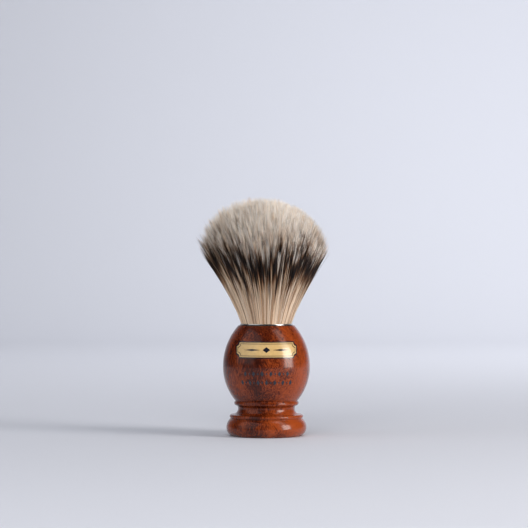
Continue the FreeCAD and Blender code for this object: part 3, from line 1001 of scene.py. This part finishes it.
class BRUSH_OT_socket_fill(bpy.types.Operator):
    """Finishes the cast plug and its adhesive"""

    bl_idname = "shaving_brush.socket_fill"
    bl_label = "Finish the plug"

    def execute(self, context):
        look = look_of(context, "fittings")
        finish_node("resin_plug", cast_resin(look))
        finish_node("glue_bed", cured_adhesive(look))
        return {"FINISHED"}


class BRUSH_OT_thread(bpy.types.Operator):
    """Winds the waxed thread that ties the hair"""

    bl_idname = "shaving_brush.thread"
    bl_label = "Wind the thread"

    def execute(self, context):
        look = look_of(context, "fittings")
        turns = float(look.thread_laps - 1)
        ply = (THREAD_HIGH.z - THREAD_LOW.z) / (1 + THREAD_PITCH * turns) / PLIES_ACROSS
        mesh = run_nodes("wound_thread", thread_tree(), {
            "Turns": turns,
            "Winding radius": THREAD_HIGH.x - 2 * ply,
            "Bottom": THREAD_LOW.z + 2 * ply,
            "Height": THREAD_HIGH.z - THREAD_LOW.z - PLIES_ACROSS * ply,
            "Ply radius": ply,
            "Twists": TWISTS_PER_TURN * turns,
            "Material": waxed_thread(look),
        })
        add_piece("wound_thread", mesh, "thread", "binding_thread")
        return {"FINISHED"}


class BRUSH_OT_hair(bpy.types.Operator):
    """Grows the knot of hair, in locks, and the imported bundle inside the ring"""

    bl_idname = "shaving_brush.hair"
    bl_label = "Grow the hair"

    def execute(self, context):
        look = look_of(context, "hair")
        material = three_band_hair(look)
        tree = hair_tree()
        knot_radius = KNOT_HIGH.x + SPREAD_EXTRA
        root_height = RING_TOP - ROOT_DEPTH
        ring_radius = inner_ring_radius()
        crown_radius = (knot_radius ** 2 + CROWN_RISE ** 2) / (2 * CROWN_RISE)
        for lock in range(LOCKS):
            name = f"hair_lock_{lock + 1}"
            mesh = run_nodes(name, tree, {
                "Hairs": look.hairs,
                "Seed": FIRST_SEED + lock * SEED_STEP,
                "First angle": math.tau * lock / LOCKS,
                "Angle width": math.tau / LOCKS,
                "Root radius": ring_radius,
                "Root height": root_height,
                "Spread radius": knot_radius,
                "Crown centre": KNOT_HIGH.z + look.crown_extra - crown_radius,
                "Crown radius": crown_radius,
                "Hair radius": look.hair_radius,
                "Clumps across": look.clumps,
                "Clumping": look.clumping,
                "Length scatter": look.scatter,
                "Bend": look.bend,
                "Flyaway share": look.flyaways,
                "Lean": tuple(look.lean),
                "Outer tip": look.outer_tip,
                "Inner tip": look.inner_tip,
                "Front tip": look.front_tip,
                "Pigment scatter": look.pigment_scatter,
                "Material": material,
            })
            add_piece(name, mesh, "hair", "hair_knot")
        bundle = packed_bundle(ring_radius, root_height + BUNDLE_LAP)
        bundle.materials.append(hair_bundle(look))
        add_piece("packed_hair", bundle, "hair", "hair_knot")
        return {"FINISHED"}


def inner_ring_radius():
    """Radius of the hair where it leaves the ring: the smallest radius of the ring's mesh."""
    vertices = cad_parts["ferrule"].data.vertices
    return min(math.hypot(vertex.co.x, vertex.co.y) for vertex in vertices) - HAIR_CLEARANCE


def packed_bundle(full_radius, top):
    """The hair inside the ring: waisted under the thread, ribbed by its hairs."""
    waist = full_radius - 0.9 * MM
    bottom = KNOT_LOW.z
    thread_top = THREAD_HIGH.z
    profile = (
        (0.0, bottom),
        (waist - 0.3 * MM, bottom),
        (waist, bottom + 0.3 * MM),
        (waist, thread_top + 0.1 * MM),
        (full_radius - 0.2 * MM, thread_top + 1.2 * MM),
        (full_radius - 0.1 * MM, thread_top + 2.0 * MM),
        (full_radius - 0.1 * MM, top),
        (0.0, top),
    )

    def ribs(angle):
        return 1.0 - 0.006 * (0.5 + 0.5 * math.cos(120 * angle)) - 0.003 * math.cos(37 * angle + 1.0)

    return lathe("packed_hair", profile, 720, ribs)


class BRUSH_OT_stage(bpy.types.Operator):
    """Sets the seamless floor, the lights and the camera"""

    bl_idname = "shaving_brush.stage"
    bl_label = "Set the stage"

    def execute(self, context):
        look = look_of(context, "stage")
        scene = context.scene
        paper = seamless_paper(tuple(look.paper))
        add_camera(scene, look)
        middle = Vector((0.0, 0.0, 50 * MM))
        warm = (1.0, 0.97, 0.93)
        add_panel_light("key_window", middle, 61.0, 0.9, 0.26, (0.40, 0.50), look.key_power, warm)
        add_panel_light("high_window", middle, 61.0, 0.72, 0.86, (0.32, 0.90), look.high_power, warm)
        cool = (0.93, 0.96, 1.0)
        add_panel_light("left_board", middle, -60.0, 1.0, 0.66, (1.25, 1.30), look.side_power, cool)
        sky = (0.98, 0.99, 1.0)
        overhead = add_panel_light("overhead", middle, 180.0, 0.15, 1.9, (2.2, 2.2), look.fill_power, sky)
        soft = (1.0, 0.99, 0.97)
        front = add_panel_light("front_fill", middle, -8.0, 1.4, 0.75, (1.0, 1.0), look.front_power, soft)
        backdrop = Vector((0.12, 1.7, 0.25))
        white = (1.0, 1.0, 1.0)
        wash_size = (0.9, 0.5)
        wash = add_panel_light("backdrop_wash", backdrop, 120.0, 1.0, 1.1, wash_size, look.wash_power, white)
        wash.data.spread = math.radians(130)
        for hidden in (overhead, front, wash):
            hidden.visible_glossy = False
        world = bpy.data.worlds.new("room")
        world.use_nodes = True
        background = world.node_tree.nodes["Background"]
        background.inputs["Color"].default_value = (0.62, 0.66, 0.74, 1.0)
        background.inputs["Strength"].default_value = 0.06
        scene.world = world
        scene.view_settings.view_transform = "Standard"
        return {"FINISHED"}


def seamless_paper(colour):
    """Paper that lies flat under the brush and sweeps up behind it."""
    half_width = 3.0
    front, turn, sweep, height = -2.5, 1.2, 0.9, 3.0
    line = [(front, 0.0), (turn, 0.0)]
    steps = 24
    for step in range(1, steps + 1):
        angle = math.pi / 2 * step / steps
        line.append((turn + sweep * math.sin(angle), sweep * (1 - math.cos(angle))))
    line.append((turn + sweep, height))
    points = []
    for y, z in line:
        points.append((-half_width, y, z))
        points.append((half_width, y, z))
    faces = [(2 * i, 2 * i + 1, 2 * i + 3, 2 * i + 2) for i in range(len(line) - 1)]
    mesh = bpy.data.meshes.new("seamless_paper")
    mesh.from_pydata(points, [], faces)
    mesh.shade_smooth()
    mesh.materials.append(studio_paper(colour))
    paper = bpy.data.objects.new("seamless_paper", mesh)
    bpy.context.scene.collection.objects.link(paper)
    return paper


def add_panel_light(name, aim, azimuth, distance, height, size, power, colour):
    """A rectangular light. Azimuth 0 is in front of the brush and 90 is at its right hand side, +X."""
    light = bpy.data.lights.new(name, "AREA")
    light.shape = "RECTANGLE"
    light.size, light.size_y = size
    light.energy = power
    light.color = colour
    lamp = bpy.data.objects.new(name, light)
    turn = math.radians(azimuth)
    lamp.location = (distance * math.sin(turn), -distance * math.cos(turn), height)
    lamp.rotation_euler = (aim - lamp.location).to_track_quat("-Z", "Y").to_euler()
    bpy.context.scene.collection.objects.link(lamp)
    return lamp


def add_camera(scene, look):
    data = bpy.data.cameras.new("camera")
    data.sensor_width = 36.0
    data.lens = data.sensor_width * look.distance / look.view_width
    data.clip_start = 0.01
    camera = bpy.data.objects.new("camera", data)
    side_step = -1.1 * MM
    camera.location = (side_step, -look.distance, look.eye_height)
    camera.rotation_euler = (math.pi / 2, 0.0, 0.0)
    scene.collection.objects.link(camera)
    scene.camera = camera


class BRUSH_PT_panel(bpy.types.Panel):
    """Lists the sizes, the colours and the steps of the brush"""

    bl_label = "Shaving brush"
    bl_idname = "BRUSH_PT_panel"
    bl_space_type = "VIEW_3D"
    bl_region_type = "UI"
    bl_category = "Shaving brush"

    def draw(self, context):
        layout = self.layout
        for name, look in LOOKS.items():
            box = layout.box()
            box.label(text=name.capitalize())
            for setting in look.__annotations__:
                box.prop(look_of(context, name), setting)
        for operator in OPERATORS:
            layout.operator(operator.bl_idname)


LOOKS = {"wood": WoodLook, "fittings": FittingLook, "hair": HairLook, "stage": StageLook}
OPERATORS = (
    BRUSH_OT_stage,
    BRUSH_OT_handle,
    BRUSH_OT_ring,
    BRUSH_OT_label,
    BRUSH_OT_socket_fill,
    BRUSH_OT_thread,
    BRUSH_OT_hair,
)


def register():
    for look in LOOKS.values():
        bpy.utils.register_class(look)
    for operator in OPERATORS:
        bpy.utils.register_class(operator)
    bpy.utils.register_class(BRUSH_PT_panel)
    for name, look in LOOKS.items():
        setattr(bpy.types.Scene, "brush_" + name, PointerProperty(type=look))


def unregister():
    for name in LOOKS:
        delattr(bpy.types.Scene, "brush_" + name)
    bpy.utils.unregister_class(BRUSH_PT_panel)
    for operator in reversed(OPERATORS):
        bpy.utils.unregister_class(operator)
    for look in reversed(LOOKS.values()):
        bpy.utils.unregister_class(look)


def main():
    register()
    bpy.ops.shaving_brush.stage()
    bpy.ops.shaving_brush.handle()
    bpy.ops.shaving_brush.ring()
    bpy.ops.shaving_brush.label()
    bpy.ops.shaving_brush.socket_fill()
    bpy.ops.shaving_brush.thread()
    bpy.ops.shaving_brush.hair()


if __name__ == "__main__":
    main()
